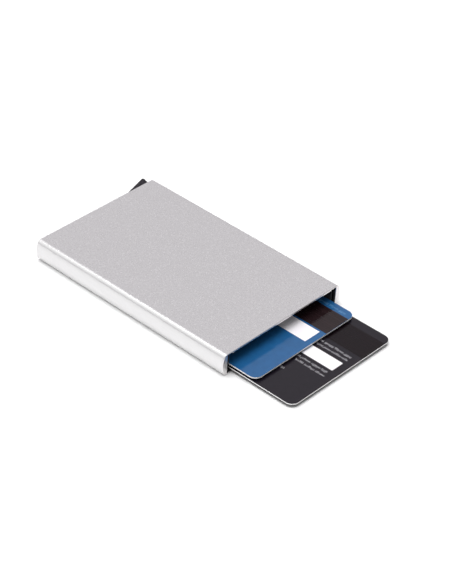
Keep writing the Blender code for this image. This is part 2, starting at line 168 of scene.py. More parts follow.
# Rails, strips, pin and spring
RAIL_LIP = 0.0006
RAIL_WEB = 0.0006
RAIL_EDGE_BREAK = 0.00006
STRIP_CROWN = 0.00012
STRIP_CROWN_STEPS = 6
STRIP_LENGTH_STEPS = 170
PIN_CHAMFER = 0.00015
PIN_SIDES = 48
SPRING_WIRE_RADIUS = 0.000175
SPRING_WIRE_STEPS = 3
SPRING_COIL_RADIUS = 0.0018
SPRING_PITCH = 0.00048
SPRING_TURNS = 2.25
SPRING_TANG = 0.0009
SPRING_STEPS = 60
TANG_HOLE_RADIUS = 0.00035
TANG_HOLE_SIDES = 20

# Making
OVERRUN = 0.0020
SHARP_ANGLE = math.radians(35)
EDGE_STEPS = 2

# Colours
BLASTED_METAL = (0.741, 0.738, 0.739)
CUT_METAL = (0.79, 0.77, 0.77)
INNER_METAL = (0.20, 0.20, 0.21)
PILE_BLACK = (0.010, 0.010, 0.011)
CORE_WHITE = (0.95, 0.945, 0.95)
PANEL_WHITE = (0.90, 0.87, 0.905)
# Near black painted on the cards' cut edges as the shade between and under the cards
PAINTED_EDGE_SHADE = (0.020, 0.014, 0.016)
GROUND_WHITE = (0.940, 0.940, 0.940)

# Plastics and steels
LEVER_PLASTIC = {"colour": (0.010, 0.008, 0.012), "roughness": 0.40, "gloss": 0.20, "grain_depth": 0.000012}
BLOCK_PLASTIC = {"colour": (0.009, 0.008, 0.010), "roughness": 0.50, "gloss": 0.25, "grain_depth": 0.00002}
RAIL_PLASTIC = {"colour": (0.0026, 0.0025, 0.0030), "roughness": 0.60, "gloss": 0.05, "grain_depth": 0.00002}
PIN_STEEL = {"colour": (0.60, 0.60, 0.62), "roughness": 0.25, "stretch": (1.0, 1.0, 0.1)}
SPRING_STEEL = {"colour": (0.50, 0.50, 0.52), "roughness": 0.30, "stretch": (1.0, 1.0, 1.0)}
PLASTIC_ROUGHNESS_SWING = (-0.06, 0.08)
STEEL_ROUGHNESS_SWING = (-0.06, 0.10)

# Textures: how many grains go in a metre, how much fine detail they have, and how they are stretched
BLAST_CELLS_IN_METRE = 4600.0
CELL_MIDDLE = (0.5, 0.5, 0.5)
BLAST_CLOUDS = {"scale": 1800.0, "detail": 1.0}
CUT_MARKS = {"scale": 900.0, "detail": 3.0, "stretch": (0.15, 1.0, 6.0)}
DRAWN_LINES = {"scale": 1600.0, "detail": 3.0, "stretch": (1.0, 0.02, 1.0)}
PLASTIC_CLOUDS = {"scale": 240.0, "detail": 3.0}
PLASTIC_SHINE = {"scale": 900.0, "detail": 2.0}
PLASTIC_GRAIN = {"scale": 5200.0, "detail": 2.0}
INK_MOTTLE = {"scale": 420.0, "detail": 4.0}
HANDLING_MARKS = {"scale": 60.0, "detail": 5.0, "stretch": (1.0, 0.4, 1.0)}
FILM_RIPPLE = {"scale": 700.0, "detail": 2.0}
CORE_FIBRES = {"scale": 1400.0, "detail": 3.0, "stretch": (1.0, 1.0, 0.2)}
READER_SCRATCHES = {"scale": 1500.0, "detail": 4.0, "stretch": (1.0, 0.03, 1.0)}
CHALK_CLOUDS = {"scale": 1800.0, "detail": 3.0}
CHALK_GRAIN = {"scale": 3200.0, "detail": 2.0}
STEEL_MARKS = {"scale": 2500.0, "detail": 3.0}
PILE_CLOUDS = {"scale": 3500.0, "detail": 3.0}
PILE_TUFTS = {"scale": 4200.0, "detail": 3.0}
GROUND_GRAIN = {"scale": 400.0, "detail": 2.0}

# Depth of the textures' relief
CUT_MARK_DEPTH = 0.00001
DRAWN_LINE_DEPTH = 0.00001
FILM_RIPPLE_DEPTH = 0.000006
CORE_FIBRE_DEPTH = 0.00001
SCRATCH_DEPTH = 0.000004
CHALK_DEPTH = 0.000008
STEEL_MARK_DEPTH = 0.000004
PILE_DEPTH = 0.00010
GROUND_DEPTH = 0.00002

# The span of a texture's values that counts: below and above it nothing changes
NOISE_SPAN = (0.3, 0.7)
SCRATCH_SPAN = (0.4, 0.75)
DULL_CELL_SPAN = (0.0, 0.8)
BRIGHT_CELL_SPAN = (0.90, 0.98)
LEVEL_FACE_SPAN = (0.6, 0.95)

# Surroundings: a studio dome of even light, with brighter, dimmer and tinted patches that fade at their edges
GROUND_HALF_SIZE = 3.0
DOME_LEVEL = 0.62
NEUTRAL = (1.0, 1.0, 1.0)
PALE_ROSE = (1.0, 0.967, 1.0)
PALE_LILAC = (1.0, 0.980, 0.995)
KEY_LIGHT = {
    "direction": (-0.07, 0.035, 1.0), "share": 8.6, "tint": NEUTRAL,
    "inner": math.radians(5), "outer": math.radians(28),
}
BACK_LEFT = {
    "direction": (-0.45, 0.53, 0.62), "share": 1.80, "tint": NEUTRAL,
    "inner": math.radians(15), "outer": math.radians(45),
}
BACK_RIGHT = {
    "direction": (0.60, 0.53, 0.60), "share": 1.16, "tint": PALE_ROSE,
    "inner": math.radians(15), "outer": math.radians(50),
}
HORIZON = {
    "direction": (0.0, 0.0, -1.0), "share": 0.84, "tint": PALE_LILAC,
    "inner": math.radians(95), "outer": math.radians(125),
}
LOW_FRONT = {
    "direction": (0.0, -1.0, 0.2), "share": 0.60, "tint": NEUTRAL,
    "inner": math.radians(30), "outer": math.radians(75),
}
DOME_PATCHES = (KEY_LIGHT, BACK_LEFT, BACK_RIGHT, HORIZON, LOW_FRONT)


def smooth(piece, bevel=0.0, segments=EDGE_STEPS):
    """Smooth shading between nearly flat faces, with broken edges and normals that keep flats flat."""
    mesh = piece.data
    mesh.shade_smooth()
    mesh.set_sharp_from_angle(angle=SHARP_ANGLE)
    if bevel:
        edge = piece.modifiers.new("broken_edges", "BEVEL")
        edge.width = bevel
        edge.segments = segments
        edge.limit_method = "ANGLE"
        edge.angle_limit = SHARP_ANGLE
        edge.use_clamp_overlap = True
        edge.harden_normals = True
    else:
        piece.modifiers.new("flat_faces", "WEIGHTED_NORMAL").keep_sharp = True
    return piece


def add_object(name, data):
    """An object in the scene."""
    piece = bpy.data.objects.new(name, data)
    bpy.context.scene.collection.objects.link(piece)
    return piece


def add_piece(name, shape, finish=None):
    """A piece from a bmesh, with its normals facing out."""
    bmesh.ops.recalc_face_normals(shape, faces=shape.faces)
    mesh = bpy.data.meshes.new(name)
    shape.to_mesh(mesh)
    shape.free()
    if finish:
        mesh.materials.append(finish)
    return add_object(name, mesh)


def loop_of(shape, points):
    """A ring of vertices from points."""
    return [shape.verts.new(point) for point in points]


def skin(shape, first, second):
    """A band of faces between two rings with the same number of vertices."""
    count = len(first)
    return [shape.faces.new((first[i], first[(i + 1) % count], second[(i + 1) % count], second[i]))
            for i in range(count)]


def loft(name, sections, finish=None):
    """A closed solid through rings of points, with single faced ends."""
    shape = bmesh.new()
    rings = [loop_of(shape, section) for section in sections]
    for first, second in zip(rings, rings[1:]):
        skin(shape, first, second)
    for ring in (rings[0], rings[-1]):
        shape.faces.new(ring)
    return add_piece(name, shape, finish)


def prism(name, outline, low, high, along_y=False, finish=None):
    """A flat outline drawn out along Z, or along Y from a front view."""
    if along_y:
        ends = [[(x, y, z) for x, z in outline] for y in (low, high)]
    else:
        ends = [[(x, y, z) for x, y in outline] for z in (low, high)]
    return loft(name, ends, finish)


def block(name, low, high, finish=None):
    """A box between two corners."""
    outline = [(low[0], low[1]), (high[0], low[1]), (high[0], high[1]), (low[0], high[1])]
    return prism(name, outline, low[2], high[2], finish=finish)


def cutter_cylinder(name, centre, radius, low, high, sides=PIN_SIDES):
    """An upright cylinder to cut with."""
    shape = bmesh.new()
    placed = Matrix.Translation((centre[0], centre[1], (low + high) / 2))
    bmesh.ops.create_cone(shape, cap_ends=True, segments=sides, radius1=radius, radius2=radius,
                          depth=high - low, matrix=placed)
    return add_piece(name, shape)


def evaluated_mesh(piece):
    """A mesh of what a piece's modifiers or curve settings make."""
    bpy.context.view_layer.update()
    return bpy.data.meshes.new_from_object(piece.evaluated_get(bpy.context.evaluated_depsgraph_get()))


def apply_modifiers(piece):
    """Put what a piece's modifiers make into its mesh."""
    mesh = evaluated_mesh(piece)
    piece.modifiers.clear()
    piece.data = mesh


def combine(piece, others, operation):
    """Cut or join a piece with others, which are then gone."""
    for other in others:
        step = piece.modifiers.new(other.name, "BOOLEAN")
        step.operation = operation
        step.solver = "EXACT"
        step.object = other
    apply_modifiers(piece)
    for other in others:
        bpy.data.objects.remove(other, do_unlink=True)


def arc(centre, radius, start, end, steps):
    """Points along an arc from one angle to another, both ends included."""
    turns = [start + (end - start) * step / steps for step in range(steps + 1)]
    return [(centre[0] + radius * math.cos(turn), centre[1] + radius * math.sin(turn)) for turn in turns]


def settle(piece, body, slot, *nodes):
    """Hang a piece on its body, in place of the nodes that it stands for, if any."""
    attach(piece, body)
    if nodes:
        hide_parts(*nodes)


def opaque(colour):
    """A colour with its alpha."""
    return (*colour, 1.0)


def shade(colour, share):
    """A colour made lighter or darker."""
    return tuple(min(1.0, channel * share) for channel in colour)


def add_node(tree, kind, output, inputs=None, **settings):
    """One output of a new node, whose inputs are linked from other outputs or set to constants."""
    node = tree.nodes.new(kind)
    for name, value in settings.items():
        setattr(node, name, value)
    for label, value in (inputs or {}).items():
        if isinstance(value, bpy.types.NodeSocket):
            tree.links.new(value, node.inputs[label])
        else:
            node.inputs[label].default_value = value
    return node.outputs[output]


def mix_colours(tree, value, first, second, how="MIX"):
    """A colour that goes from one to another with a value, or that multiplies the two."""
    colours = {"Factor": value, "A": first, "B": second}
    return add_node(tree, "ShaderNodeMix", "Result", colours, data_type="RGBA", blend_type=how)


class Finish:
    """A material with a Principled shader and short calls for its texture nodes."""

    def __init__(self, name, colour, roughness, **sockets):
        self.material = bpy.data.materials.new(name)
        self.material.use_nodes = True
        self.tree = self.material.node_tree
        self.shader = self.tree.nodes["Principled BSDF"].inputs
        self.shader["Base Color"].default_value = opaque(colour)
        self.shader["Roughness"].default_value = roughness
        for label, value in sockets.items():
            self.shader[label.replace("_", " ").title().replace("Ior", "IOR")].default_value = value
        self.place = self.node("ShaderNodeTexCoord", "Object")

    def node(self, kind, output, inputs=None, **settings):
        """One output of a new node in this material."""
        return add_node(self.tree, kind, output, inputs, **settings)

    def drive(self, label, value):
        """One of the shader's inputs follows a value."""
        self.tree.links.new(value, self.shader[label])

    def noise(self, scale, detail, stretch=None):
        """A noise value over the piece, stretched along an axis where asked."""
        place = self.place
        if stretch:
            place = self.node("ShaderNodeMapping", "Vector", {"Vector": place, "Scale": stretch})
        return self.node("ShaderNodeTexNoise", "Fac", {"Vector": place, "Scale": scale, "Detail": detail})

    def cells(self, scale):
        """A colour that is constant in each small cell and random from cell to cell."""
        return self.node("ShaderNodeTexVoronoi", "Color", {"Vector": self.place, "Scale": scale})

    def channel(self, colour, name):
        """One channel of a colour, as a value."""
        return self.node("ShaderNodeSeparateColor", name, {"Color": colour})

    def normal(self):
        """The direction that the surface faces."""
        return self.node("ShaderNodeNewGeometry", "Normal")

    def rise(self, vector):
        """The upright part of a vector."""
        return self.node("ShaderNodeSeparateXYZ", "Z", {"Vector": vector})

    def spread(self, value, low, high, span=NOISE_SPAN):
        """A value that goes from low to high as another crosses its span."""
        return self.node("ShaderNodeMapRange", "Result", {
            "Value": value, "From Min": span[0], "From Max": span[1], "To Min": low, "To Max": high,
        })

    def below(self, fade):
        """A value that falls from 1 to 0 between two levels of the piece."""
        return self.spread(self.rise(self.place), 1.0, 0.0, fade)

    def levelness(self, upright, level):
        """A value that goes from one figure on upright faces to another on level ones."""
        size = self.node("ShaderNodeMath", "Value", {0: self.rise(self.normal())}, operation="ABSOLUTE")
        return self.spread(size, upright, level, LEVEL_FACE_SPAN)

    def sway(self, value, middle, reach):
        """A value that goes either way from a middle, as far as another value lets it."""
        return self.node("ShaderNodeMath", "Value", {0: value, 1: reach, 2: middle}, operation="MULTIPLY_ADD")

    def tint(self, value, colour, dark_share, light_share, span=NOISE_SPAN):
        """The base colour goes from a dark share of a colour to a light one as a value crosses its span."""
        ends = [opaque(shade(colour, share)) for share in (dark_share, light_share)]
        self.drive("Base Color", mix_colours(self.tree, self.spread(value, 0.0, 1.0, span), *ends))

    def cover(self, value, colour):
        """Another colour covers the base colour as a value goes from 0 to 1."""
        base = self.shader["Base Color"].links[0].from_socket
        self.drive("Base Color", mix_colours(self.tree, value, base, opaque(colour)))

    def roughen(self, value):
        """The roughness follows a value."""
        self.drive("Roughness", value)

    def bump(self, value, depth, strength):
        """The surface rises and falls with a value."""
        self.drive("Normal", self.node("ShaderNodeBump", "Normal", {
            "Height": value, "Distance": depth, "Strength": strength,
        }))

    def facet(self, colour, lean):
        """The surface leans by a different small amount in each cell of a colour."""
        vector_math = ("ShaderNodeVectorMath", "Vector")
        centred = self.node(*vector_math, {0: colour, 1: CELL_MIDDLE}, operation="SUBTRACT")
        leaned = self.node(*vector_math, {0: centred, 1: lean, 2: self.normal()}, operation="MULTIPLY_ADD")
        self.drive("Normal", self.node(*vector_math, {0: leaned}, operation="NORMALIZE"))


def blasted_aluminium():
    """Bead blasted and clear anodised: small facets and bright flecks on the flats, and smoother sides."""
    finish = Finish("blasted_aluminium", BLASTED_METAL, roughness=0.30, metallic=1.0)
    cells = finish.cells(BLAST_CELLS_IN_METRE)
    dulling = finish.channel(cells, "Red")
    finish.tint(dulling, BLASTED_METAL, dark_share=0.975, light_share=1.0, span=DULL_CELL_SPAN)
    fleck = finish.spread(finish.channel(cells, "Green"), 0.0, 1.0, BRIGHT_CELL_SPAN)
    fleck_on_flats = finish.sway(fleck, middle=0.0, reach=finish.levelness(upright=0.0, level=1.0))
    finish.cover(fleck_on_flats, shade(BLASTED_METAL, share=1.34))
    cloud = finish.spread(finish.noise(**BLAST_CLOUDS), -1.0, 1.0)
    finish.roughen(finish.sway(cloud, middle=0.30, reach=finish.levelness(upright=0.004, level=0.04)))
    finish.facet(cells, lean=finish.levelness(upright=0.015, level=0.14))
    return finish.material


def cut_aluminium():
    """The sawn and deburred ends of the sleeve, with fine marks along the cut."""
    finish = Finish("cut_aluminium", CUT_METAL, roughness=0.30, metallic=1.0)
    marks = finish.noise(**CUT_MARKS)
    finish.tint(marks, CUT_METAL, dark_share=0.95, light_share=1.03)
    finish.roughen(finish.spread(marks, low=0.28, high=0.36))
    finish.bump(marks, CUT_MARK_DEPTH, strength=0.15)
    return finish.material


def inner_aluminium():
    """The inside of the sleeve, drawn in the die: fine lines along its length, much darker and rougher than the
    outside.
    """
    finish = Finish("inner_aluminium", INNER_METAL, roughness=0.55, metallic=0.9)
    lines = finish.noise(**DRAWN_LINES)
    finish.tint(lines, INNER_METAL, dark_share=0.8, light_share=1.15)
    finish.roughen(finish.spread(lines, low=0.45, high=0.65))
    finish.bump(lines, DRAWN_LINE_DEPTH, strength=0.3)
    return finish.material


def moulded_plastic(name, colour, roughness, gloss, grain_depth):
    """Dark moulded plastic with a fine spark-eroded texture."""
    finish = Finish(name, colour, roughness, specular_ior_level=gloss)
    finish.tint(finish.noise(**PLASTIC_CLOUDS), colour, dark_share=0.85, light_share=1.20)
    low, high = [roughness + swing for swing in PLASTIC_ROUGHNESS_SWING]
    finish.roughen(finish.spread(finish.noise(**PLASTIC_SHINE), low, high))
    finish.bump(finish.noise(**PLASTIC_GRAIN), grain_depth, strength=0.5)
    return finish.material


def printed_film(name, ink, coat):
    """Printed card stock under a thin clear overlay, with faint ink mottle and handling marks."""
    finish = Finish(name, ink, roughness=0.38, coat_weight=coat, coat_roughness=0.03, specular_ior_level=0.05)
    finish.tint(finish.noise(**INK_MOTTLE), ink, dark_share=0.93, light_share=1.07)
    finish.roughen(finish.spread(finish.noise(**HANDLING_MARKS), low=0.32, high=0.46))
    finish.bump(finish.noise(**FILM_RIPPLE), FILM_RIPPLE_DEPTH, strength=0.25)
    return finish


def back_print(name, ink, coat):
    """The printed film on a card's back."""
    return printed_film(name, ink, coat).material


def face_print(name, ink, coat):
    """The printed film under a card, with its cut edge painted near black: painted shade of the gap between and
    under the cards.
    """
    finish = printed_film(name, ink, coat)
    # Painted shade: the upright cut edge is covered with near black.
    finish.cover(finish.levelness(upright=1.0, level=0.0), PAINTED_EDGE_SHADE)
    return finish.material


def card_core_white(name, foot, painted_shade_band):
    """The cut edge of the white core: slightly fibrous, with painted shade at its foot for the shade in the gap
    under the card.

    The painted shade fades out between two heights above the foot.
    """
    finish = Finish(name, CORE_WHITE, roughness=0.60, specular_ior_level=0.20)
    fibres = finish.noise(**CORE_FIBRES)
    finish.tint(fibres, CORE_WHITE, dark_share=0.90, light_share=1.04)
    # Painted shade: near black at the foot of the cut edge, fading out upwards.
    finish.cover(finish.below([foot + height for height in painted_shade_band]), PAINTED_EDGE_SHADE)
    finish.bump(fibres, CORE_FIBRE_DEPTH, strength=0.4)
    return finish.material


def stripe_tape(name, colour, coat):
    """Magnetic tape: dark, smooth, with fine scratches from card readers along it."""
    finish = Finish(name, colour, roughness=0.30, coat_weight=coat, coat_roughness=0.04,
                    specular_ior_level=0.05)
    scratches = finish.noise(**READER_SCRATCHES)
    finish.tint(scratches, colour, dark_share=0.90, light_share=1.25, span=SCRATCH_SPAN)
    finish.roughen(finish.spread(scratches, low=0.24, high=0.40, span=SCRATCH_SPAN))
    finish.bump(scratches, SCRATCH_DEPTH, strength=0.3)
    return finish.material


def chalky_ink(name, colour):
    """Chalky ink, which takes a pen on the signature panel."""
    finish = Finish(name, colour, roughness=0.75)
    finish.tint(finish.noise(**CHALK_CLOUDS), colour, dark_share=0.97, light_share=1.02)
    finish.bump(finish.noise(**CHALK_GRAIN), CHALK_DEPTH, strength=0.5)
    return finish.material


def steel(name, colour, roughness, stretch):
    """Ground or drawn steel with fine marks."""
    finish = Finish(name, colour, roughness, metallic=1.0)
    marks = finish.noise(**STEEL_MARKS, stretch=stretch)
    finish.tint(marks, colour, dark_share=0.85, light_share=1.10)
    low, high = [roughness + swing for swing in STEEL_ROUGHNESS_SWING]
    finish.roughen(finish.spread(marks, low, high))
    finish.bump(marks, STEEL_MARK_DEPTH, strength=0.3)
    return finish.material


def pile_fabric():
    """Short black pile, lighter where the light catches the tips."""
    finish = Finish("pile_fabric", PILE_BLACK, roughness=0.95, sheen_weight=0.08, sheen_roughness=0.5)
    finish.tint(finish.noise(**PILE_CLOUDS), PILE_BLACK, dark_share=0.6, light_share=1.9)
    finish.bump(finish.noise(**PILE_TUFTS), PILE_DEPTH, strength=0.8)
    return finish.material


def case_section(half_width, half_height, inset):
    """The sleeve's outer section, drawn in by an inset: flats, corner arcs and shallow side arcs."""
    side_x = half_width - SIDE_RADIUS
    reach = SIDE_RADIUS - CORNER_RADIUS
    rise = half_height - CORNER_RADIUS
    corner_x = side_x + math.sqrt(reach ** 2 - rise ** 2)
    tilt = math.atan2(rise, corner_x - side_x)
    quarter = math.radians(90)
    corner = CORNER_RADIUS - inset
    lower = arc((corner_x, -rise), corner, -quarter, -tilt, CORNER_STEPS)
    side = arc((side_x, 0.0), SIDE_RADIUS - inset, -tilt, tilt, SIDE_STEPS)
    upper = arc((corner_x, rise), corner, tilt, quarter, CORNER_STEPS)
    half = lower + side[1:-1] + upper
    return [(x, z + half_height) for x, z in half + [(-x, z) for x, z in reversed(half)]]


def cavity_section(half_width, height, outset):
    """The sleeve's inside section, let out by an outset: a box with a channel beside each side wall."""
    wall_x = half_width - SIDE_WALL + outset
    inner_x = half_width - SIDE_WALL - CHANNEL_WIDTH - outset
    low, high = WALL - outset, height - WALL + outset
    half = [(inner_x, low), (inner_x, low - CHANNEL_DEPTH), (wall_x, low - CHANNEL_DEPTH),
            (wall_x, high + CHANNEL_DEPTH), (inner_x, high + CHANNEL_DEPTH), (inner_x, high)]
    return half + [(-x, z) for x, z in reversed(half)]


def ring_edges(shape, ring):
    """The edges round a ring of vertices."""
    return [shape.edges.get((vert, ring[(index + 1) % len(ring)])) for index, vert in enumerate(ring)]


def make_case():
    """The sleeve: blasted outside, cut ends with broken edges, dull inside."""
    low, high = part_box("case_shell")
    half_width = (high.x - low.x) / 2
    height = high.z - low.z
    edge = CASE_EDGE_BREAK
    outer, outer_rim = [case_section(half_width, height / 2, inset) for inset in (0.0, edge)]
    inner, inner_rim = [cavity_section(half_width, height, outset) for outset in (0.0, edge)]
    shape = bmesh.new()
    rings = [{
        "skin": loop_of(shape, [(x, y + step, z) for x, z in outer]),
        "rim": loop_of(shape, [(x, y, z) for x, z in outer_rim]),
        "inner_rim": loop_of(shape, [(x, y, z) for x, z in inner_rim]),
        "bore": loop_of(shape, [(x, y + step, z) for x, z in inner]),
    } for y, step in ((low.y, edge), (high.y, -edge))]
    mouth, far = rings
    outside = skin(shape, mouth["skin"], far["skin"])
    inside = skin(shape, mouth["bore"], far["bore"])
    ends = []
    for ring in rings:
        ends += skin(shape, ring["skin"], ring["rim"])
        ends += skin(shape, ring["inner_rim"], ring["bore"])
        borders = ring_edges(shape, ring["rim"]) + ring_edges(shape, ring["inner_rim"])
        filled = bmesh.ops.triangle_fill(shape, use_beauty=True, use_dissolve=False, edges=borders)
        ends += [face for face in filled["geom"] if isinstance(face, bmesh.types.BMFace)]
    for index, faces in enumerate((outside, ends, inside)):
        for face in faces:
            face.material_index = index
    case = add_piece("case_sleeve", shape, blasted_aluminium())
    case.data.materials.append(cut_aluminium())
    case.data.materials.append(inner_aluminium())
    smooth(case)
    settle(case, "holder", "blasted_aluminium", "case_shell")


def card_outline(low, high, inset=0.0):
    """A card's rounded rectangle in plan, drawn in by an inset."""
    x = high.x - CARD_CORNER_RADIUS
    ends = (low.y + CARD_CORNER_RADIUS, high.y - CARD_CORNER_RADIUS)
    points = []
    for index, centre in enumerate(((x, ends[1]), (-x, ends[1]), (-x, ends[0]), (x, ends[0]))):
        start = math.radians(90) * index
        points += arc(centre, CARD_CORNER_RADIUS - inset, start, start + math.radians(90), CARD_CORNER_STEPS)
    return points


def card_layer(name, node, edge_break, finish, upper_break=True, lower_break=True):
    """One full-size layer of a card, with its free edges broken."""
    low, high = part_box(node)
    full, inset = card_outline(low, high), card_outline(low, high, edge_break)
    levels = [(inset if lower_break else full, low.z)]
    if lower_break:
        levels.append((full, low.z + edge_break))
    if upper_break:
        levels.append((full, high.z - edge_break))
    levels.append((inset if upper_break else full, high.z))
    return smooth(loft(name, [[(x, y, z) for x, y in outline] for outline, z in levels], finish))


def overlay(name, node, finish):
    """A stripe or panel on a card's back, with softened edges."""
    low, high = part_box(node)
    return smooth(block(name, low, high, finish), bevel=(high.z - low.z) * OVERLAY_BREAK_SHARE)


def print_rows(name, node, rows, finish):
    """Rows of plain ticks and dashes in small groups along a card, where it carries its small print."""
    low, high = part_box(node)
    centre_z = high.z + PRINT_LIFT + PRINT_THICKNESS / 2
    chance = random.Random(PRINT_SEED)
    shape = bmesh.new()
    for middle, start, end in rows:
        place = low.y + start
        while place < low.y + end:
            for _ in range(chance.randint(*TICKS_IN_GROUP)):
                height = PRINT_HEIGHT * chance.choice(TICK_HEIGHT_SHARES)
                marks = [(middle, place, height, PRINT_LINE)]
                if chance.random() < DASH_SHARE:
                    side = middle + PRINT_HEIGHT / 2 * chance.choice((-1, 0, 1))
                    marks.append((side, place + TICK_PITCH / 2, PRINT_LINE, TICK_PITCH))
                for x, y, across, along in marks:
                    size = Matrix.Diagonal((across, along, PRINT_THICKNESS, 1.0))
                    bmesh.ops.create_cube(shape, size=1.0, matrix=Matrix.Translation((x, y, centre_z)) @ size)
                place += TICK_PITCH
            place += TICK_PITCH
    return add_piece(name, shape, finish)


def make_card(colour_name, ink, coat, tape, strokes, painted_shade_band, rows):
    """A card's layers, stripe, panel and rows of print."""
    body = f"{colour_name}_card"
    print_slot = f"{colour_name}_print"
    face_film, core, back_film = f"{body}_face_film", f"{body}_core", f"{body}_back_film"
    stripe, panel = f"{body}_stripe", f"{body}_signature_panel"

    finish = face_print(f"{body}_face_print", ink, coat * FACE_COAT_SHARE)
    piece = card_layer(f"{body}_face_layer", face_film, FILM_EDGE_BREAK, finish, upper_break=False)
    settle(piece, body, print_slot, face_film)

    finish = card_core_white(f"{body}_core_white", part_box(core)[0].z, painted_shade_band)
    piece = card_layer(f"{body}_core_layer", core, CORE_EDGE_BREAK, finish)
    settle(piece, body, "card_white", core)

    finish = back_print(f"{body}_back_print", ink, coat)
    piece = card_layer(f"{body}_back_layer", back_film, FILM_EDGE_BREAK, finish, lower_break=False)
    settle(piece, body, print_slot, back_film)

    finish = stripe_tape(f"{body}_tape", tape, coat * STRIPE_COAT_SHARE)
    settle(overlay(f"{body}_stripe_tape", stripe, finish), body, "stripe_tape", stripe)

    finish = chalky_ink(f"{body}_ink", PANEL_WHITE)
    settle(overlay(f"{body}_panel_ink", panel, finish), body, "panel_white", panel)

    finish = chalky_ink(f"{body}_stroke_ink", strokes)
    settle(print_rows(f"{body}_strokes", back_film, rows, finish), body, "panel_white")


def lever_plan(pivot, high):
    """The lever's drum and tab in plan."""
    side_x = high.x - pivot[0]
    stop_y = TAB_STOP_Y - pivot[1]
    wall_x = TAB_WALL_X - pivot[0]
    across = math.radians(90) + TAB_ANGLE
    arm_back = math.radians(180) + math.asin((ARM_BACK + SNUG_GAP) / DRUM_RADIUS)
    drum = arc((0.0, 0.0), DRUM_RADIUS, across, arm_back, 2 * CORNER_STEPS)
    hub_radius = ARM_FRONT - SNUG_GAP
    hub = arc((0.0, 0.0), hub_radius, math.radians(270), HUB_END_TURN, CORNER_STEPS // 2)
    tip_x = side_x - TAB_TIP_RADIUS
    tip_y = (DRUM_RADIUS - TAB_TIP_RADIUS + tip_x * math.sin(TAB_ANGLE)) / math.cos(TAB_ANGLE)
    tip = arc((tip_x, tip_y), TAB_TIP_RADIUS, -TAB_END_LEAN, across, CORNER_STEPS // 2)
    foot_x = tip[0][0] - (tip[0][1] - stop_y) * math.tan(TAB_END_LEAN)
    heel = [(wall_x, stop_y - TAB_HEEL_DEPTH), (wall_x, stop_y), (foot_x, stop_y)]
    plan = drum + [(drum[-1][0], -hub_radius)] + hub + heel + tip
    return [(pivot[0] + x, pivot[1] + y) for x, y in plan]


def step_reach(throw):
    """How far along the arm a step ends, to move a stored card by this much at full turn."""
    drop = ARM_FRONT + ARM_CARD_GAP + throw - FIT_GAP - ARM_FRONT * math.cos(LEVER_TURN)
    return drop / math.sin(LEVER_TURN)


def arm_outline(pivot, low):
    """The stepped arm seen from the mouth: the longest step lies lowest, between the two cards' levels."""
    black_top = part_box("black_card_stripe")[1].z
    blue_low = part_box("blue_card_face_film")[0].z
    first_top = (black_top + blue_low) / 2
    ends = [pivot[0] - step_reach(throw) for throw in STEP_THROWS] + [low.x]
    tops = [first_top + 2 * ARM_STEP_RISE, first_top + ARM_STEP_RISE, first_top]
    outline = [(low.x, low.z), (pivot[0], low.z)]
    for end, top in zip(ends, tops):
        outline += [(outline[-1][0], top), (end, top)]
    return outline


def make_lever(pivot):
    """The lever: drum and tab with rounded edges, and the stepped arm."""
    low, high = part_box("ejector_lever")
    finish = moulded_plastic("lever_plastic", **LEVER_PLASTIC)
    lever = prism("lever_moulding", lever_plan(pivot, high), LEVER_LOW, high.z, finish=finish)
    smooth(lever, bevel=LEVER_EDGE_BREAK, segments=LEVER_EDGE_STEPS)
    apply_modifiers(lever)
    side_view = arm_outline(pivot, low)
    arm = prism("lever_arm", side_view, pivot[1] - ARM_FRONT, pivot[1] - ARM_BACK, along_y=True)
    smooth(arm, bevel=ARM_EDGE_BREAK)
    apply_modifiers(arm)
    clear_low, clear_high = low.z - OVERRUN, high.z + OVERRUN
    room = cutter_cylinder("plate_room", pivot, ARM_ROOT_RADIUS, clear_low, LEVER_LOW + SNUG_GAP)
    combine(arm, [room], "DIFFERENCE")
    combine(lever, [arm], "UNION")
    bore = cutter_cylinder("pin_bore", pivot, PIN_BORE_RADIUS, clear_low, clear_high)
    pocket = cutter_cylinder("spring_pocket", pivot, SPRING_POCKET_RADIUS, SPRING_POCKET_FLOOR, clear_high)
    tang_hole = cutter_cylinder("lower_tang_hole", coil_place(pivot, 0.0), TANG_HOLE_RADIUS,
                                SPRING_POCKET_FLOOR - SPRING_TANG, clear_high, sides=TANG_HOLE_SIDES)
    combine(lever, [bore, pocket, tang_hole], "DIFFERENCE")
    lever.data.set_sharp_from_angle(angle=SHARP_ANGLE)
    settle(lever, "lever", "lever_plastic", "ejector_lever")


def block_plan(pivot, low, high):
    """The end block in plan: a bar on the left that runs on round the pin to the right side."""
    bar_y = high.y - BAR_DEPTH
    bar_turn = math.radians(180) + math.asin((pivot[1] - bar_y) / PLATE_RADIUS)
    round_pin = arc(pivot, PLATE_RADIUS, bar_turn, math.radians(270), CORNER_STEPS)
    return [(low.x, bar_y)] + round_pin + [(high.x, low.y), (high.x, high.y), (low.x, high.y)]


def lever_room(pivot, low, high):
    """The room that the lever turns in: it leaves the bar and the stop post standing."""
    drum = arc(pivot, ROOM_RADIUS, math.radians(90), math.radians(270), 2 * CORNER_STEPS)
    post_left, post_back = high.x - POST_WIDTH, low.y + POST_LENGTH
    clear_x = high.x + OVERRUN
    right = [(post_left, pivot[1] - ROOM_RADIUS), (post_left, post_back), (clear_x, post_back)]
    plan = drum + right + [(clear_x, pivot[1] + ROOM_RADIUS)]
    return prism("lever_room", plan, BLOCK_LOW + PLATE_THICKNESS, BLOCK_HIGH - PLATE_THICKNESS)


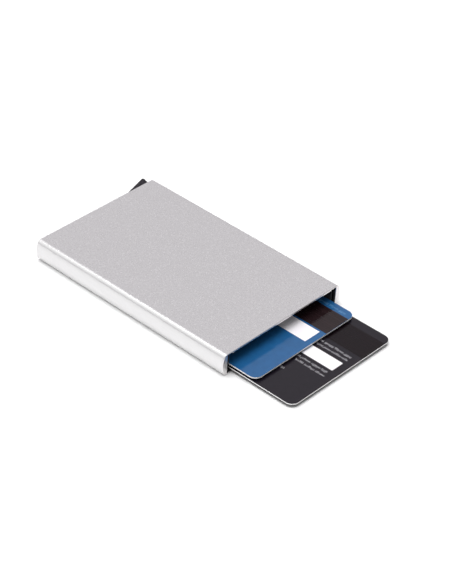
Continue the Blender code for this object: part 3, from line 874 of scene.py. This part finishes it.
def rib_pockets(pivot, low, high):
    """Hollows moulded into the bar from inside the sleeve."""
    bar_y = high.y - BAR_DEPTH
    span = (pivot[0] - ROOM_RADIUS - low.x - POCKET_WALL) / POCKET_COUNT
    pockets = []
    for index in range(POCKET_COUNT):
        left = low.x + POCKET_WALL + span * index
        pockets.append(block(
            f"rib_pocket_{index + 1}",
            (left, bar_y - OVERRUN, BLOCK_LOW + POCKET_WALL),
            (left + span - POCKET_WALL, bar_y + POCKET_DEPTH, BLOCK_HIGH - POCKET_WALL),
        ))
    return pockets


def make_keys(low, high, finish):
    """Four small keys on the block, which stand in the sleeve's channels."""
    bar_y = high.y - BAR_DEPTH
    for side, across in (("left", (low.x, low.x + KEY_WIDTH)), ("right", (high.x - KEY_WIDTH, high.x))):
        for level, bottom, top in (
            ("low", BLOCK_LOW - KEY_RISE, BLOCK_LOW + KEY_ROOT),
            ("high", BLOCK_HIGH - KEY_ROOT, BLOCK_HIGH + KEY_RISE),
        ):
            key_low = (across[0] + SNUG_GAP, bar_y + SNUG_GAP, bottom)
            key_high = (across[1] - SNUG_GAP, high.y - SNUG_GAP, top)
            key = block(f"block_key_{side}_{level}", key_low, key_high, finish)
            settle(smooth(key, bevel=BLOCK_EDGE_BREAK), "holder", "black_plastic")


def make_end_block(pivot):
    """The moulded block in the far end."""
    low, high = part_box("end_block")
    finish = moulded_plastic("block_plastic", **BLOCK_PLASTIC)
    piece = prism("end_block_moulding", block_plan(pivot, low, high), BLOCK_LOW, BLOCK_HIGH, finish=finish)
    clear_high = high.z + OVERRUN
    seat = cutter_cylinder("pin_seat", pivot, PIN_SEAT_RADIUS, low.z - OVERRUN, clear_high)
    plate_low = BLOCK_HIGH - PLATE_THICKNESS
    tang_hole = cutter_cylinder("upper_tang_hole", coil_place(pivot, SPRING_TURNS), TANG_HOLE_RADIUS,
                                plate_low - OVERRUN, clear_high, sides=TANG_HOLE_SIDES)
    cutters = [lever_room(pivot, low, high), *rib_pockets(pivot, low, high), seat, tang_hole]
    combine(piece, cutters, "DIFFERENCE")
    smooth(piece, bevel=BLOCK_EDGE_BREAK)
    settle(piece, "holder", "black_plastic", "end_block")
    make_keys(low, high, finish)


def make_rail(side, sign, finish):
    """A rail: a channel section that opens towards the cards."""
    low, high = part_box(f"side_rail_{side}")
    outer, inner = (high.x, low.x) if sign > 0 else (low.x, high.x)
    web = outer - sign * RAIL_WEB
    outline = [(outer, low.z), (outer, high.z), (inner, high.z), (inner, high.z - RAIL_LIP),
               (web, high.z - RAIL_LIP), (web, low.z + RAIL_LIP), (inner, low.z + RAIL_LIP), (inner, low.z)]
    rail = prism(f"side_rail_{side}_moulding", outline, low.y, high.y, along_y=True, finish=finish)
    smooth(rail, bevel=RAIL_EDGE_BREAK)
    settle(rail, "holder", "black_plastic", f"side_rail_{side}")


def make_strip(side, sign, finish):
    """A strip of pile with a crowned face and an uneven nap."""
    low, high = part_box(f"grip_strip_{side}")
    back, tip = (high.x, low.x) if sign > 0 else (low.x, high.x)
    chance = random.Random(sign)
    sections = []
    for row in range(STRIP_LENGTH_STEPS + 1):
        y = low.y + (high.y - low.y) * row / STRIP_LENGTH_STEPS
        section = [(back, y, low.z), (back, y, high.z)]
        for step in range(STRIP_CROWN_STEPS + 1):
            share = step / STRIP_CROWN_STEPS
            fall = STRIP_CROWN * (1 - math.sin(math.pi * share)) + chance.uniform(0.0, STRIP_CROWN / 2)
            section.append((tip + sign * fall, y, high.z + (low.z - high.z) * share))
        sections.append(section)
    strip = smooth(loft(f"grip_strip_{side}_pile", sections, finish))
    settle(strip, "holder", "pile", f"grip_strip_{side}")


def make_pin(pivot):
    """The pin, with chamfered ends."""
    low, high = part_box("pivot_pin")
    radius = (high.x - low.x) / 2
    levels = [(radius - PIN_CHAMFER, low.z), (radius, low.z + PIN_CHAMFER),
              (radius, high.z - PIN_CHAMFER), (radius - PIN_CHAMFER, high.z)]
    turn = math.tau * (PIN_SIDES - 1) / PIN_SIDES
    sections = [[(x, y, z) for x, y in arc(pivot, size, 0.0, turn, PIN_SIDES - 1)] for size, z in levels]
    pin = smooth(loft("pivot_pin_ground", sections, steel("pin_steel", **PIN_STEEL)))
    settle(pin, "holder", "pin_steel", "pivot_pin")


def coil_place(pivot, turns):
    """Where the spring's coil is in plan after so many turns."""
    angle = math.radians(180) - math.tau * turns
    return (pivot[0] + SPRING_COIL_RADIUS * math.cos(angle), pivot[1] + SPRING_COIL_RADIUS * math.sin(angle))


def spring_path(pivot, base):
    """The wire's path: a coil from a base level, with an upright tang at each end."""
    coil = []
    for step in range(SPRING_STEPS + 1):
        turns = SPRING_TURNS * step / SPRING_STEPS
        coil.append((*coil_place(pivot, turns), base + SPRING_PITCH * turns))
    (first_x, first_y, first_z), (last_x, last_y, last_z) = coil[0], coil[-1]
    return [(first_x, first_y, first_z - SPRING_TANG)] + coil + [(last_x, last_y, last_z + SPRING_TANG)]


def make_spring(pivot):
    """The torsion spring round the pin, with its foot in the lever and its top in the block."""
    low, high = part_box("return_spring")
    rise = SPRING_PITCH * SPRING_TURNS
    base = (low.z + high.z - rise) / 2
    places = spring_path(pivot, base)
    curve = bpy.data.curves.new("return_spring_wire", "CURVE")
    curve.dimensions = "3D"
    curve.bevel_depth = SPRING_WIRE_RADIUS
    curve.bevel_resolution = SPRING_WIRE_STEPS
    curve.use_fill_caps = True
    spline = curve.splines.new("POLY")
    spline.points.add(len(places) - 1)
    for point, place in zip(spline.points, places):
        point.co = (*place, 1.0)
    curve.materials.append(steel("spring_steel", **SPRING_STEEL))
    path = add_object("return_spring_path", curve)
    mesh = evaluated_mesh(path)
    bpy.data.objects.remove(path, do_unlink=True)
    spring = add_object("return_spring_wire", mesh)
    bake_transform(spring)
    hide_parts("return_spring")


def make_object():
    """Every piece of the holder and its cards."""
    pin_low, pin_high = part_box("pivot_pin")
    pivot = ((pin_low.x + pin_high.x) / 2, (pin_low.y + pin_high.y) / 2)
    make_case()
    make_end_block(pivot)
    make_lever(pivot)
    make_pin(pivot)
    make_spring(pivot)
    rail_finish = moulded_plastic("rail_plastic", **RAIL_PLASTIC)
    strip_finish = pile_fabric()
    for side, sign in (("left", -1), ("right", 1)):
        make_rail(side, sign, rail_finish)
        make_strip(side, sign, strip_finish)
    make_card("blue", **BLUE_CARD)
    make_card("black", **BLACK_CARD)


def make_ground():
    """A plain white ground, far larger than the view."""
    shape = bmesh.new()
    bmesh.ops.create_grid(shape, x_segments=1, y_segments=1, size=GROUND_HALF_SIZE)
    finish = Finish("white_ground", GROUND_WHITE, roughness=0.85)
    finish.bump(finish.noise(**GROUND_GRAIN), GROUND_DEPTH, strength=0.2)
    ground = add_piece("white_ground", shape, finish.material)


def make_lights():
    """A pale studio dome: each patch multiplies its even light by a colour in a cone with a soft edge."""
    world = bpy.data.worlds.new("studio_dome")
    bpy.context.scene.world = world
    world.use_nodes = True
    tree = world.node_tree
    facing = add_node(tree, "ShaderNodeTexCoord", "Generated")
    light = opaque(NEUTRAL)
    for patch in DOME_PATCHES:
        direction = Vector(patch["direction"]).normalized()
        towards = add_node(tree, "ShaderNodeVectorMath", "Value", {0: facing, 1: direction},
                           operation="DOT_PRODUCT")
        inside = add_node(tree, "ShaderNodeMapRange", "Result", {
            "Value": towards, "From Min": math.cos(patch["outer"]), "From Max": math.cos(patch["inner"]),
        }, interpolation_type="SMOOTHSTEP")
        colour = opaque([patch["share"] * channel for channel in patch["tint"]])
        patch_light = mix_colours(tree, inside, opaque(NEUTRAL), colour)
        light = mix_colours(tree, 1.0, light, patch_light, how="MULTIPLY")
    background = tree.nodes["Background"].inputs
    background["Strength"].default_value = DOME_LEVEL
    tree.links.new(light, background["Color"])


def make_camera():
    """The photograph's viewpoint."""
    camera = bpy.data.cameras.new("photo_camera")
    camera.sensor_width = SENSOR_MM
    camera.lens = FOCAL_LENGTH_MM
    viewer = add_object("photo_camera", camera)
    heading = Matrix.Rotation(CAMERA_HEADING, 4, "Z")
    tilt = Matrix.Rotation(CAMERA_TILT, 4, "X")
    roll = Matrix.Rotation(CAMERA_ROLL, 4, "Z")
    viewer.matrix_world = Matrix.Translation(CAMERA_PLACE) @ heading @ tilt @ roll
    bpy.context.scene.camera = viewer


make_camera()
make_lights()
make_ground()
make_object()
bpy.context.scene.view_settings.view_transform = "Standard"
